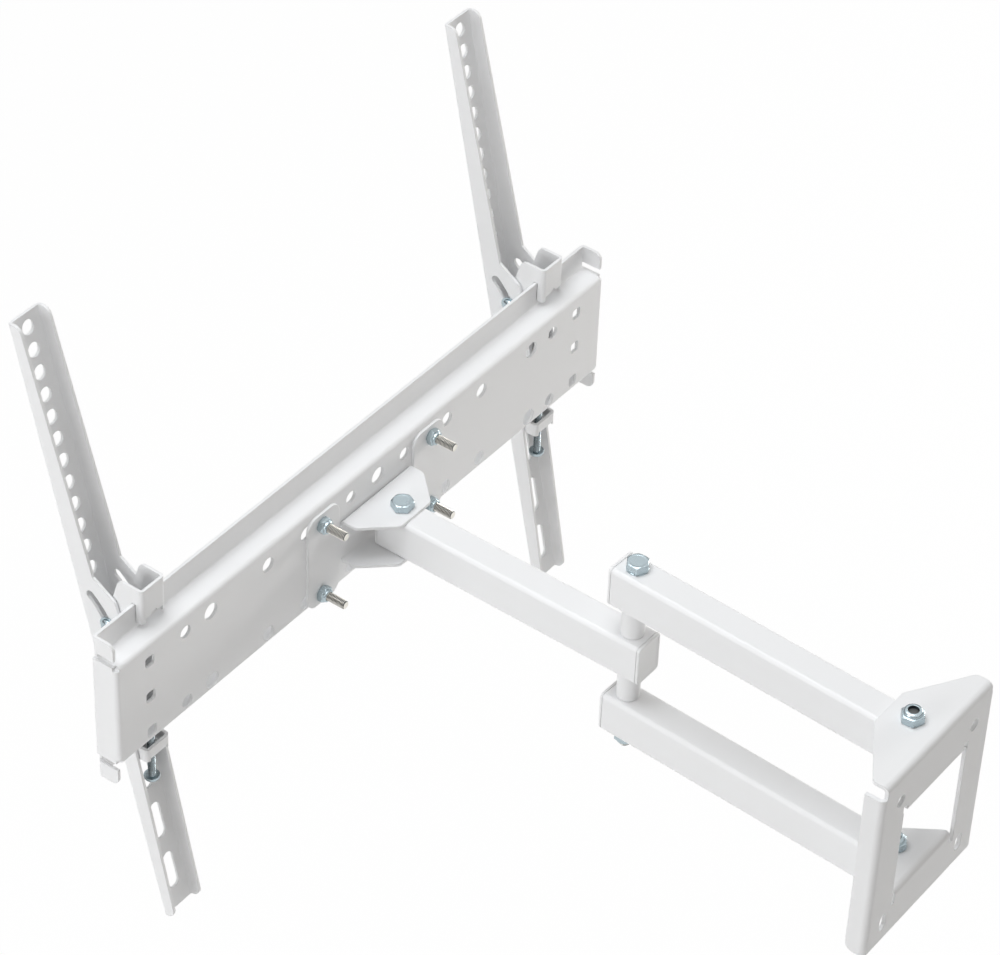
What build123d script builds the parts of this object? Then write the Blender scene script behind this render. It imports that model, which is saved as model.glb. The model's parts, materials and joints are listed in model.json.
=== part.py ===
"""A full-motion television wall mount, in millimetres.

The wall is the plane y = 0 and the mount reaches towards -Y. z = 0 is the middle of the arms.
"""
import os
from math import cos, degrees, radians, sin

from build123d import *

# Wall plate, one folded sheet
plate_sheet = 2.5
plate_width = 118.0
plate_foot = 66.0
plate_bend = 4.0
flange_depth = 13.0
flange_top_gap = 6.0
flange_corner = 6.0
ear_base = 110.0
ear_straight = 11.0
ear_tip_width = 30.0
lower_ear_base = 60.0
lower_ear_straight = 3.0
lower_ear_tip_width = 18.0
ear_past_pivot = 16.0
lower_ear_past_pivot = 13.0
ear_round = 5.0
ear_lap = 10.0
wall_to_pivot = 20.0
window_width = 67.0
window_top = 33.0
window_notch = 4.5
relief_depth = 6.0
notch_lap = 1.0
wall_hole = 8.5
wall_hole_spacing = 78.0
wall_hole_height = 46.5
wall_slot_width = 7.0
wall_slot_length = 13.0
wall_slot_spacing = 82.0
wall_slot_height = -51.0

# Arms
tube_width = 22.0
tube_height = 29.0
tube_wall = 2.0
tube_round = 3.0
tube_past_pivot = 13.0
cap_flange = 2.2
cap_plug = 5.0
cap_clearance = 0.15
cap_round = 0.6
rear_spacing = 196.0
front_spacing = 175.0
spacer_height = 22.0
spacer_diameter = 14.5
spacer_edge = 0.5
washer_sheet = 1.0

# Angles at which the arms and the uprights rest, about the upright pivots and the tilt axis
rear_turn = -2.4
front_turn = -0.4
rest_tilts = (14.0, 12.0)
tilt_most = 14.0
tilt_back = -5.0

# Head bracket, one folded sheet
head_sheet = 2.0
head_bend = 3.5
pivot_to_bar = 22.0
head_width = 134.0
head_height = 72.0
head_neck = 74.0
head_corner = 8.0
head_ear_base = 68.0
head_ear_straight = 12.0
head_ear_tip_width = 30.0
head_ear_past_pivot = 10.5
head_ear_round = 5.0
head_bolt_spacing = 108.0
head_bolt_rise = 56.0

# Crossbar, one folded sheet
bar_sheet = 2.0
bar_bend = 3.0
bar_length = 480.0
bar_height = 78.0
bar_lift = 2.7
bar_depth = 18.0
lip_height = 17.0
tab_length = 15.0
tab_height = 12.0
tab_corner = 5.0
closing_length = 20.0
corner_gap = 0.3
hole_row = 28.0
hole_shift = -3.0
small_hole = 9.0
middle_hole = 10.0
large_hole = 11.5
square_hole = 8.0
bar_small_holes = (26.5, 182.0)
bar_middle_holes = (70.0, 106.0)
bar_large_holes = (159.0,)
bar_square_holes = 211.0

# Hooks, one folded sheet each
hook_from_end = (46.0, 42.0)
hook_sheet = 2.0
hook_bend = 3.0
hook_width = 21.0
hook_back = 10.5
hook_above_lip = 11.8
hook_below_lip = 14.4
hook_nose = 28.5
hook_nose_round = 5.0
hook_slope = 34.3
hook_slope_below_lip = 7.0
hook_belly = 40.0
hook_belly_top = 33.0
hook_belly_foot = -10.0
hook_chin = 26.0
hook_leg_gap = 3.3
hook_web_gap = 7.1
hook_notch = 5.0
hook_slit = 1.0
hook_box_gap = 4.7
hook_tab_reach = 22.0
hook_tab_rise = 6.0
hook_tab_play = 0.5
lip_gap = 0.6
lip_rest = 0.2

# Uprights, one folded channel each
upright_sheet = 2.0
upright_bend = 3.0
upright_width = 26.0
upright_top = 237.4
upright_foot = -189.7
end_depth = 9.5
end_corner = 6.0
kink_height = 68.0
kink_depth = 16.0
wing_depth = 30.0
wing_top = 54.0
wing_low = 0.0
lower_kink = -30.0
lower_kink_depth = 14.5
screen_hole = 9.5
screen_hole_pitch = 15.0
screen_hole_count = 12
screen_hole_top = 228.5
screen_slot_length = 26.5
screen_slot_width = 9.0
screen_slots = (-86.0, -124.5, -163.0)

# Tilt joint: an axis in front of the uprights, reached through two curved slots in each flange
tilt_axis_forward = 88.0
tilt_axis_height = 2.7
tilt_axis_to_face = 39.2
tilt_axis_above_middle = 18.75
tilt_radius = 61.4
tilt_pins = (30.0, -18.0)
slot_clearance = 0.3
slot_end = 0.6
tilt_washer_gap = 0.1

# Fasteners
m8, m8_flats, m8_head, m8_nut = 8.0, 13.0, 5.3, 8.0
m6, m6_flats, m6_head, m6_nut = 6.0, 10.0, 4.0, 6.0
m8_washer = 16.0
m6_washer = 12.0
running_fit = 0.05
bolt_clearance = 0.3
elbow_bolt_tail = 2.5
head_bolt_tail = 3.0
bar_bolt_tail = 13.0
tilt_bolt_tail = 2.0
lock_screw = 5.0
lock_head = 10.2
lock_head_height = 3.0
lock_head_round = 1.2
lock_length = 35.0
lock_point = 0.8
lock_gap = 0.3
drive_length = 5.2
drive_width = 1.0
drive_depth = 1.5
hex_flare, hex_top = 1.7, 0.97
shank_edge = 0.12
nut_body, nut_collar, collar_round = 0.72, 0.9, 0.16

# How far a cutter stands past the sheet that it goes through, and how near an edge is to be picked
through = 10.0
near = 0.1

# Heights and places that follow from the sizes above
arm_rise = tube_height + spacer_height
tube_top = arm_rise + tube_height / 2
plate_top = tube_top + plate_sheet
lower_ear_top = -arm_rise + tube_height / 2 + plate_sheet
bar_top = bar_lift + bar_height / 2
bar_foot = bar_lift - bar_height / 2
lip_top = bar_top + lip_height
lip_foot = bar_foot - lip_height
head_ear_top = tube_height / 2 + head_sheet
hook_places = (bar_length / 2 - hook_from_end[0], -bar_length / 2 + hook_from_end[1])
hook_top = lip_top + hook_above_lip
hook_foot = lip_foot - hook_below_lip
hook_leg = bar_top + hook_leg_gap
hook_web_foot = bar_top + hook_web_gap
hook_box_top = lip_foot - hook_box_gap
lock_place = bar_depth - bar_sheet / 2
bar_hole_reach = 2 * bar_sheet
screen_hole_reach = 2 * upright_sheet

# Frames of the moving bodies
wall_pivot = Location((0, -wall_to_pivot, 0), (0, 0, rear_turn))
elbow = wall_pivot * Location((0, -rear_spacing, 0), (0, 0, front_turn - rear_turn))
head = elbow * Location((0, -front_spacing, 0), (0, 0, -front_turn))
bar = head * Location((0, -pivot_to_bar, 0))


def pin(diameter, low, high):
    """A round bar along Z from one height to another."""
    return Pos(0, 0, low) * extrude(Circle(diameter / 2), high - low)


def block(x, y, z):
    """A box given by its two limits along each axis."""
    middle = Pos((x[0] + x[1]) / 2, (y[0] + y[1]) / 2, (z[0] + z[1]) / 2)
    return middle * Box(x[1] - x[0], y[1] - y[0], z[1] - z[0])


def strip(points, sheet, bend):
    """The section of a folded sheet, from the middle line of the sheet and its outer bend radius."""
    line = FilletPolyline(*points, radius=bend - sheet / 2)
    return trace(line, line_width=sheet)


def fold_across(points, sheet, bend, half_width):
    """A sheet folded about lines along X: points are (y, z) on its middle line."""
    section = Plane.YZ * strip(points, sheet, bend)
    return extrude(section, half_width, both=True)


def fold_upright(points, sheet, bend, low, high):
    """A sheet folded about lines along Z: points are (x, y) on its middle line."""
    section = strip(points, sheet, bend)
    return Pos(0, 0, low) * extrude(section, high - low)


def side_plate(outline, half_width):
    """A prism along X from an outline in (y, z)."""
    return extrude(Plane.YZ * outline, half_width, both=True)


def ear_outline(base, straight, tip_width, reach, rounding, toward):
    """The plan of an ear that leaves y = 0, narrows and ends in a blunt tip."""
    low = toward * straight
    tip = toward * reach
    shape = make_face(Polyline(
        (-base / 2, -toward), (base / 2, -toward), (base / 2, low), (tip_width / 2, tip),
        (-tip_width / 2, tip), (-base / 2, low), close=True))
    corners = [v for v in shape.vertices() if abs(v.Y) > straight / 2]
    return fillet(corners, rounding)


def hex_prism(flats, height):
    """A hexagonal head or nut body with its corners turned down at the top."""
    prism = extrude(RegularPolygon(flats / 2, 6, major_radius=False), height)
    across_corners = flats / cos(radians(30))
    cone = Cone(across_corners / 2 + height * hex_flare, flats / 2 * hex_top, height)
    return prism & (Pos(0, 0, height / 2) * cone)


def hex_bolt(diameter, flats, head_height, length):
    """A hexagon bolt: the head stands on z = 0 and the shank goes down."""
    shank = chamfer(pin(diameter, -length, 0).edges().sort_by(Axis.Z)[0], diameter * shank_edge)
    return hex_prism(flats, head_height) + shank


def lock_nut(diameter, flats, height):
    """A hexagon nut with the round collar of its locking ring, standing on z = 0."""
    body = hex_prism(flats, height * nut_body)
    collar = pin(flats * nut_collar, 0, height)
    collar = fillet(collar.edges().sort_by(Axis.Z)[-1], height * collar_round)
    return body + collar - pin(diameter + 2 * running_fit, -through, height + through)


def washer(diameter, bore, height=washer_sheet):
    """A flat ring standing on z = 0."""
    return pin(diameter, 0, height) - pin(bore + 2 * bolt_clearance, -through, height + through)


def make_wall_plate():
    """The folded plate: back, side flanges, top ear and the ear lanced from the window."""
    middle = plate_sheet / 2
    side = plate_width / 2 - middle
    flange_top = plate_top - plate_sheet - flange_top_gap
    tray = fold_upright(
        [(-side, -flange_depth), (-side, -middle), (side, -middle), (side, -flange_depth)],
        plate_sheet, plate_bend, -plate_foot, flange_top)
    bottom_corners = [
        e for e in tray.edges().filter_by(Axis.X)
        if abs(e.center().Z + plate_foot) < near and abs(e.center().Y + flange_depth) < near]
    tray = fillet(bottom_corners, flange_corner)
    reach = wall_to_pivot + ear_past_pivot
    upper = fold_across(
        [(-middle, flange_top - ear_lap), (-middle, plate_top - middle), (-reach, plate_top - middle)],
        plate_sheet, plate_bend, ear_base / 2)
    plan = ear_outline(ear_base, ear_straight, ear_tip_width, reach, ear_round, -1)
    upper &= Pos(0, 0, -plate_foot) * extrude(plan, plate_top + plate_foot)
    lower_bed = -plate_foot + ear_lap
    lower = fold_across(
        [(-middle, lower_bed), (-middle, lower_ear_top - middle), (-reach, lower_ear_top - middle)],
        plate_sheet, plate_bend, lower_ear_base / 2)
    lower_reach = wall_to_pivot + lower_ear_past_pivot
    plan = ear_outline(
        lower_ear_base, lower_ear_straight, lower_ear_tip_width, lower_reach, ear_round, -1)
    lower &= Pos(0, 0, -plate_foot) * extrude(plan, plate_top + plate_foot)
    window_foot = lower_ear_top - plate_bend - relief_depth
    cut = block(
        (-window_width / 2, window_width / 2), (-through, through), (window_foot, window_top))
    for way in (-1, 1):
        inner = way * (window_width / 2 - window_notch + notch_lap)
        outer = way * (window_width / 2 + notch_lap)
        cut += block(sorted((inner, outer)), (-through, through),
                     (window_top - notch_lap, window_top + window_notch))
    plate = tray + upper - cut + lower
    bolt_hole = pin(m8 + 2 * bolt_clearance, -plate_foot - through, plate_top + through)
    plate -= Pos(0, -wall_to_pivot, 0) * bolt_hole
    for way in (-1, 1):
        round_hole = extrude(Plane.XZ * Circle(wall_hole / 2), through, both=True)
        plate -= Pos(way * wall_hole_spacing / 2, 0, wall_hole_height) * round_hole
        slot = extrude(Plane.XZ * SlotOverall(wall_slot_length, wall_slot_width, rotation=90),
                       through, both=True)
        plate -= Pos(way * wall_slot_spacing / 2, 0, wall_slot_height) * slot
    return plate


def make_tube(spacing):
    """A square-cornered tube along -Y with a cross hole at each pivot, its middle at z = 0."""
    tail = tube_past_pivot - cap_flange
    outer = RectangleRounded(tube_width, tube_height, tube_round)
    inner = RectangleRounded(
        tube_width - 2 * tube_wall, tube_height - 2 * tube_wall, tube_round - tube_wall)
    length = spacing + 2 * tail
    tube = Pos(0, tail, 0) * extrude(Plane.XZ * (outer - inner), length)
    hole = pin(m8 + 2 * running_fit, -tube_height, tube_height)
    return tube - hole - Pos(0, -spacing, 0) * hole


def make_cap(turned):
    """A moulded end plug: flange flush with the tube and a short plug inside it."""
    flange = extrude(Plane.XZ * RectangleRounded(tube_width, tube_height, tube_round), cap_flange)
    flange = fillet(flange.faces().sort_by(Axis.Y)[0].edges(), cap_round)
    slack = 2 * (tube_wall + cap_clearance)
    plug = extrude(
        Plane.XZ * RectangleRounded(
            tube_width - slack, tube_height - slack, tube_round - tube_wall), cap_plug)
    cap = flange + Pos(0, cap_plug, 0) * plug
    return Rot(0, 0, 180) * cap if turned else cap


def tube_caps(spacing):
    """The plugs of one tube's two ends."""
    tail = tube_past_pivot - cap_flange
    far = Pos(0, -spacing - tail, 0) * make_cap(False)
    near = Pos(0, tail, 0) * make_cap(True)
    return [near, far]


def make_spacer():
    """A turned bush that keeps the front tube midway between the rear tubes."""
    bush = pin(spacer_diameter, 0, spacer_height)
    bush = chamfer(bush.edges().filter_by(GeomType.CIRCLE), spacer_edge)
    return bush - pin(m8 + 2 * running_fit, -through, spacer_height + through)


def make_head_bracket():
    """Wings against the crossbar and two ears that straddle the front tube."""
    middle = head_sheet / 2
    ear = head_ear_top - middle
    reach = pivot_to_bar + head_ear_past_pivot
    ears = fold_across(
        [(reach, -ear), (middle, -ear), (middle, ear), (reach, ear)],
        head_sheet, head_bend, head_ear_base / 2)
    plan = ear_outline(
        head_ear_base, head_ear_straight, head_ear_tip_width, reach, head_ear_round, 1)
    ears &= Pos(0, 0, -head_ear_top) * extrude(plan, 2 * head_ear_top)
    neck = head_ear_top - head_bend
    back = block((-head_width / 2 + head_corner, head_width / 2 - head_corner), (0, head_sheet),
                 (-neck, neck))
    wing_width = (head_width - head_neck) / 2
    wing_shape = Plane.XZ * RectangleRounded(wing_width, head_height, head_corner)
    bracket = ears + back
    for way in (-1, 1):
        wing = Pos(way * (head_neck + wing_width) / 2, head_sheet, 0) * extrude(wing_shape, head_sheet)
        bracket += wing
    for x in (-head_bolt_spacing / 2, head_bolt_spacing / 2):
        for z in (-head_bolt_rise / 2, head_bolt_rise / 2):
            hole = extrude(Plane.XZ * Circle(m6 / 2 + bolt_clearance), through, both=True)
            bracket -= Pos(x, 0, z) * hole
    return bracket - Pos(0, pivot_to_bar, 0) * pin(m8 + 2 * running_fit, -head_height, head_height)


def bar_holes():
    """The holes punched through the crossbar's back, as one cutter."""
    cutters = []
    rounds = [(x, small_hole) for x in bar_small_holes]
    rounds += [(x, middle_hole) for x in bar_middle_holes]
    rounds += [(x, large_hole) for x in bar_large_holes]
    places = [
        (hole_shift + way * x, row * hole_row, d)
        for way in (-1, 1) for row in (-1, 1) for x, d in rounds]
    places.append((hole_shift, hole_row, large_hole))
    for x, z, diameter in places:
        cutters.append(Pos(x, 0, z) * extrude(Plane.XZ * Circle(diameter / 2), bar_hole_reach, both=True))
    for way in (-1, 1):
        for z in (-hole_row, 0, hole_row):
            square = RectangleRounded(square_hole, square_hole, square_hole / 4)
            cutters.append(
                Pos(way * bar_square_holes, 0, z) * extrude(Plane.XZ * square, bar_hole_reach, both=True))
        for z in (-head_bolt_rise / 2, head_bolt_rise / 2):
            bolt_hole = extrude(Plane.XZ * Circle(m6 / 2 + bolt_clearance), bar_hole_reach, both=True)
            cutters.append(Pos(way * head_bolt_spacing / 2, 0, z) * bolt_hole)
    return cutters


def make_crossbar():
    """The folded bar: back, flanges, lips, end flanges and the tabs folded from the lips' ends."""
    middle = bar_sheet / 2
    front = -bar_depth + middle
    end = bar_length / 2
    body = fold_across(
        [(front, lip_top), (front, bar_top - middle), (-middle, bar_top - middle),
         (-middle, bar_foot + middle), (front, bar_foot + middle), (front, lip_foot)],
        bar_sheet, bar_bend, end - bar_sheet)
    for way in (-1, 1):
        body -= block(sorted((way * (end - bar_bend), way * end)), (-bar_bend, through),
                      (lip_foot, lip_top))
        outer = way * (end - middle)
        inner = way * (end - closing_length)
        closing = fold_upright(
            [(inner, -middle), (outer, -middle), (outer, -bar_depth)],
            bar_sheet, bar_bend, bar_foot + bar_bend, bar_top - bar_bend)
        face = block(sorted((way * (end - bar_sheet), way * end)), (-bar_depth, -bar_bend),
                     (bar_foot + corner_gap, bar_top - corner_gap))
        body += closing + face
        for low, high, edge in (
                (lip_top - tab_height, lip_top, lip_top),
                (lip_foot, lip_foot + tab_height, lip_foot)):
            tab = fold_upright(
                [(inner, front), (outer, front), (outer, front + tab_length)],
                bar_sheet, bar_bend, low, high)
            rear = [
                e for e in tab.edges().filter_by(Axis.X)
                if e.center().Y > front + tab_length / 2 and abs(e.center().Z - edge) < near]
            body += fillet(rear, tab_corner)
    for cutter in bar_holes():
        body -= cutter
    return body


def hook_outline():
    """The side view of a hook's cheek, as (y, z) from the crossbar's back."""
    notch_front = -bar_depth - lip_gap
    notch_back = -bar_depth + bar_sheet + lip_gap
    seat = lip_top + lip_rest
    points = [
        (-hook_back, hook_top), (-hook_nose, hook_top), (-hook_slope, lip_top - hook_slope_below_lip),
        (-hook_belly, hook_belly_top), (-hook_belly, hook_belly_foot), (-hook_chin, hook_foot),
        (-hook_back, hook_foot),
        (-hook_back, hook_box_top), (notch_front, hook_box_top), (notch_front, seat),
        (notch_back, seat), (notch_back, hook_leg), (-hook_back, hook_leg)]
    shape = make_face(Polyline(*points, close=True))
    nose = [v for v in shape.vertices() if abs(v.X + hook_nose) < near and v.Y > lip_top]
    return fillet(nose, hook_nose_round)


def make_hook():
    """One folded cheek-and-web sheet that hangs on the upper lip and reaches below the lower one."""
    middle = hook_sheet / 2
    side = hook_width / 2 - middle
    channel = fold_upright(
        [(-side, -hook_belly - through), (-side, -hook_back - middle), (side, -hook_back - middle),
         (side, -hook_belly - through)],
        hook_sheet, hook_bend, hook_foot, hook_top)
    hook = channel & side_plate(hook_outline(), hook_width)
    inside = hook_width / 2 - hook_sheet - hook_slit
    web = (-hook_back - hook_bend, 0)
    hook -= block((-inside, inside), web, (hook_leg - through, hook_web_foot))
    notch = pin(hook_notch, -hook_sheet, hook_sheet).rotate(Axis.X, 90)
    hook -= Pos(0, -hook_back, hook_web_foot) * notch
    tab = fold_across(
        [(-hook_back - middle, hook_foot + hook_tab_rise), (-hook_back - middle, hook_foot + middle),
         (-hook_tab_reach, hook_foot + middle)],
        hook_sheet, hook_bend, inside - hook_tab_play)
    hook -= block((-inside, inside), web, (hook_foot - through, hook_foot + hook_bend))
    hook += tab
    bore = pin(lock_screw + 2 * running_fit, hook_foot - through, hook_foot + hook_bend)
    hook -= Pos(0, -lock_place, 0) * bore
    for angle in tilt_pins:
        hole = extrude(Plane.YZ * Circle(m6 / 2 + running_fit), hook_width, both=True)
        hook -= pin_place(angle) * hole
    return hook


def pin_place(angle):
    """Where a tilt bolt crosses the hook, on the arc about the tilt axis."""
    y = -tilt_axis_forward + tilt_radius * cos(radians(angle))
    z = tilt_axis_height + tilt_radius * sin(radians(angle))
    return Pos(0, y, z)


def make_upright():
    """A folded channel about the tilt axis: the screen's face is on its front."""
    face = tilt_axis_to_face
    shift = -tilt_axis_above_middle
    middle = upright_sheet / 2
    side = upright_width / 2 - middle
    channel = fold_upright(
        [(-side, face + wing_depth + through), (-side, face + middle), (side, face + middle),
         (side, face + wing_depth + through)],
        upright_sheet, upright_bend, upright_foot + shift, upright_top + shift)
    outline = make_face(Polyline(
        (0, upright_top), (end_depth, upright_top), (kink_depth, kink_height),
        (wing_depth, wing_top), (wing_depth, wing_low), (lower_kink_depth, lower_kink),
        (end_depth, upright_foot), (0, upright_foot), close=True))
    ends = [v for v in outline.vertices() if abs(v.X - end_depth) < near]
    outline = fillet(ends, end_corner)
    shoulders = [v for v in outline.vertices() if v.X > wing_depth - near]
    outline = fillet(shoulders, end_corner)
    upright = channel & side_plate(Pos(face, shift) * outline, upright_width)
    for step in range(screen_hole_count):
        height = screen_hole_top - step * screen_hole_pitch + shift
        hole = extrude(Plane.XZ * Circle(screen_hole / 2), screen_hole_reach, both=True)
        upright -= Pos(0, face + middle, height) * hole
    for height in screen_slots:
        slot = extrude(
            Plane.XZ * SlotOverall(screen_slot_length, screen_slot_width, rotation=90),
            screen_hole_reach, both=True)
        upright -= Pos(0, face + middle, height + shift) * slot
    for angle in tilt_pins:
        upright -= tilt_slot(angle - tilt_most, angle - tilt_back)
    return upright


def tilt_slot(low, high):
    """A curved slot through both flanges, from one angle about the tilt axis to another."""
    spare = degrees(slot_end / tilt_radius)
    start, span = low - spare, high - low + 2 * spare
    arc = CenterArc((0, 0), tilt_radius, start, span)
    band = trace(arc, line_width=m6 + 2 * slot_clearance)
    for angle in (start, start + span):
        centre = (tilt_radius * cos(radians(angle)), tilt_radius * sin(radians(angle)))
        band += Pos(*centre) * Circle(m6 / 2 + slot_clearance)
    return extrude(Plane.YZ * band, upright_width, both=True)


def tilt_fasteners():
    """Two bolts through hook and upright, with a washer at each end and a nut, about x = 0."""
    face = upright_width / 2 + tilt_washer_gap
    seat = face + washer_sheet
    bolts, nuts, washers = [], [], []
    grip = 2 * seat + m6_nut + tilt_bolt_tail
    for angle in tilt_pins:
        place = pin_place(angle)
        bolts.append(place * Pos(seat, 0, 0) * Rot(0, 90, 0) * hex_bolt(m6, m6_flats, m6_head, grip))
        nuts.append(place * Pos(-seat, 0, 0) * Rot(0, -90, 0) * lock_nut(m6, m6_flats, m6_nut))
        for way in (-1, 1):
            ring = washer(m6_washer, m6)
            washers.append(place * Pos(way * face, 0, 0) * Rot(0, way * 90, 0) * ring)
    return bolts, nuts, washers


def make_lock_screw():
    """A long screw with a pan head, its tip just under the lower lip."""
    tip = lip_foot - lock_gap
    foot = tip - lock_length
    shank = chamfer(pin(lock_screw, foot, tip).edges().sort_by(Axis.Z)[-1], lock_point)
    pan = pin(lock_head, foot - lock_head_height, foot)
    pan = fillet(pan.edges().sort_by(Axis.Z)[0], lock_head_round)
    drive = Box(drive_length, drive_width, 2 * drive_depth)
    drive += Box(drive_width, drive_length, 2 * drive_depth)
    screw = shank + pan - Pos(0, 0, foot - lock_head_height) * drive
    return Pos(0, -lock_place, 0) * screw


def placed(shapes, place):
    """Shapes moved to a body's frame."""
    return [place * shape for shape in shapes]


def wall_parts():
    """What is fixed to the wall: the plate and the two pivot bolts."""
    pivot = Pos(0, -wall_to_pivot, 0)
    ear_reach = tube_height + plate_sheet + washer_sheet
    bolt = hex_bolt(m8, m8_flats, m8_head, ear_reach + m8_nut)
    nodes = {"wall_plate": [make_wall_plate()]}
    washers = []
    for name, ear_top in (("upper", plate_top), ("lower", lower_ear_top)):
        seat = ear_top - ear_reach
        nodes[name + "_wall_bolt"] = [pivot * Pos(0, 0, seat) * Rot(180, 0, 0) * bolt]
        nodes[name + "_wall_nut"] = [pivot * Pos(0, 0, ear_top) * lock_nut(m8, m8_flats, m8_nut)]
        washers.append(pivot * Pos(0, 0, seat) * washer(m8_washer, m8))
    nodes["wall_washers"] = washers
    return nodes


def rear_parts():
    """The pair of rear tubes and the elbow bolt."""
    nodes, caps = {}, []
    for name, height in (("upper", arm_rise), ("lower", -arm_rise)):
        nodes[name + "_rear_tube"] = [Pos(0, 0, height) * make_tube(rear_spacing)]
        caps += placed(tube_caps(rear_spacing), Pos(0, 0, height))
    nodes["rear_tube_caps"] = caps
    pivot = Pos(0, -rear_spacing, 0)
    seat = tube_top + washer_sheet
    grip = 2 * seat + m8_nut + elbow_bolt_tail
    nodes["elbow_bolt"] = [pivot * Pos(0, 0, seat) * hex_bolt(m8, m8_flats, m8_head, grip)]
    nodes["elbow_nut"] = [pivot * Pos(0, 0, -seat) * Rot(180, 0, 0) * lock_nut(m8, m8_flats, m8_nut)]
    ring = washer(m8_washer, m8)
    nodes["elbow_washers"] = [
        pivot * Pos(0, 0, tube_top) * ring, pivot * Pos(0, 0, -seat) * ring]
    low = tube_height / 2
    nodes["elbow_spacers"] = [
        pivot * Pos(0, 0, low) * make_spacer(),
        pivot * Pos(0, 0, -low - spacer_height) * make_spacer()]
    return {name: placed(shapes, wall_pivot) for name, shapes in nodes.items()}


def front_parts():
    """The single front tube."""
    nodes = {"front_tube": [make_tube(front_spacing)], "front_tube_caps": tube_caps(front_spacing)}
    return {name: placed(shapes, elbow) for name, shapes in nodes.items()}


def head_parts():
    """The head bracket, its pivot bolt, the crossbar and the four bolts that join them."""
    pivot = Pos(0, pivot_to_bar, 0)
    grip = 2 * head_ear_top + m8_nut + head_bolt_tail
    nodes = {
        "head_bracket": [make_head_bracket()],
        "head_bolt": [pivot * Pos(0, 0, head_ear_top) * hex_bolt(m8, m8_flats, m8_head, grip)],
        "head_nut": [
            pivot * Pos(0, 0, -head_ear_top) * Rot(180, 0, 0) * lock_nut(m8, m8_flats, m8_nut)],
        "crossbar": [make_crossbar()]}
    bolts, nuts = [], []
    grip = bar_sheet + head_sheet + m6_nut + bar_bolt_tail
    for x in (-head_bolt_spacing / 2, head_bolt_spacing / 2):
        for z in (-head_bolt_rise / 2, head_bolt_rise / 2):
            bolts.append(
                Pos(x, -bar_sheet, z) * Rot(90, 0, 0) * hex_bolt(m6, m6_flats, m6_head, grip))
            nuts.append(Pos(x, head_sheet, z) * Rot(-90, 0, 0) * lock_nut(m6, m6_flats, m6_nut))
    nodes["crossbar_bolts"] = bolts
    nodes["crossbar_nuts"] = nuts
    return {name: placed(shapes, bar) for name, shapes in nodes.items()}


def side_parts(side, place, tilt):
    """One hook with its fasteners, its upright and its lock screw."""
    bolts, nuts, washers = tilt_fasteners()
    axis = Location((0, -tilt_axis_forward, tilt_axis_height), (tilt, 0, 0))
    nodes = {
        side + "_hook": [make_hook()],
        side + "_tilt_bolts": bolts,
        side + "_tilt_nuts": nuts,
        side + "_tilt_washers": washers,
        side + "_upright": [axis * make_upright()],
        side + "_lock_screw": [make_lock_screw()]}
    return {name: placed(shapes, bar * Pos(place, 0, 0)) for name, shapes in nodes.items()}


def write(name, shapes):
    """One file for each node, with its separate solids side by side."""
    solids = [solid for shape in shapes for solid in shape.solids()]
    node = solids[0] if len(solids) == 1 else Compound(children=solids)
    export_step(node, os.path.join("parts", name + ".step"))


os.makedirs("parts", exist_ok=True)
nodes = {**wall_parts(), **rear_parts(), **front_parts(), **head_parts()}
for side, place, tilt in zip(("left", "right"), hook_places, rest_tilts):
    nodes.update(side_parts(side, place, tilt))
for name, shapes in nodes.items():
    write(name, shapes)
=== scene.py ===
# %% [markdown]
# A white full-motion screen mount, dressed for a studio picture.
# The construction comes ready from the CAD frame: folded sheet parts, tubes, bolts and nuts, each
# at its real place. This script gives the sheets, tubes and washers their finish, and it replaces
# the plain bolts, nuts and tube plugs by detailed ones: rolled threads, turned hexagons, locking
# rings, a cross recess and moulded plugs. Lengths in the frame are in metres, and fastener sizes
# here are in millimetres, so each point is multiplied by MM on its way into a mesh.

# %% Load the frame
import json
from math import atan, cos, floor, pi, radians, sin, tan

import bmesh
import bpy
from mathutils import Matrix, Vector


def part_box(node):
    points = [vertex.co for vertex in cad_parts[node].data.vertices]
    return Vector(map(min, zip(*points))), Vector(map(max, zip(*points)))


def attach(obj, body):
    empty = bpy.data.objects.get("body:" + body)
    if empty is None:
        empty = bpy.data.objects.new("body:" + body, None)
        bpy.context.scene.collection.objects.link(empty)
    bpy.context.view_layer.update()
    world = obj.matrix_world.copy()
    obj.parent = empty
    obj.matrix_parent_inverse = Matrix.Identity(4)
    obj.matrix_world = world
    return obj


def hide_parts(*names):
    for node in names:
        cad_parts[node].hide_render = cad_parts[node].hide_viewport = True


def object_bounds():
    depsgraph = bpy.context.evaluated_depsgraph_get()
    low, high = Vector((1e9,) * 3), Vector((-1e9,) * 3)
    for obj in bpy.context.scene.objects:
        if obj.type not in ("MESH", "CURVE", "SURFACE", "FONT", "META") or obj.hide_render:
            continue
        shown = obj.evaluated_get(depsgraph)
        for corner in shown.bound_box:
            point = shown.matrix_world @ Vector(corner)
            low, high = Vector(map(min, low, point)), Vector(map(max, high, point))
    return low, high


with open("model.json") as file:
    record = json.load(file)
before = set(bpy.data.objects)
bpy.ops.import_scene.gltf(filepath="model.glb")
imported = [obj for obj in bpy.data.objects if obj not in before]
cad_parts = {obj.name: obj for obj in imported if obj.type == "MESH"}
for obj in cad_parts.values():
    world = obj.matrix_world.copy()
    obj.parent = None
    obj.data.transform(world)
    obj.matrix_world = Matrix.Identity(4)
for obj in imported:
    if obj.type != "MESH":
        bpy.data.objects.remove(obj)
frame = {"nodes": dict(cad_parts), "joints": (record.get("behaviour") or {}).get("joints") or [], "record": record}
cad_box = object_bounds()
MM = 0.001
joint_places = {j["name"]: Vector(j["pos_m"]) for j in frame["joints"] if "pos_m" in j}

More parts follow.
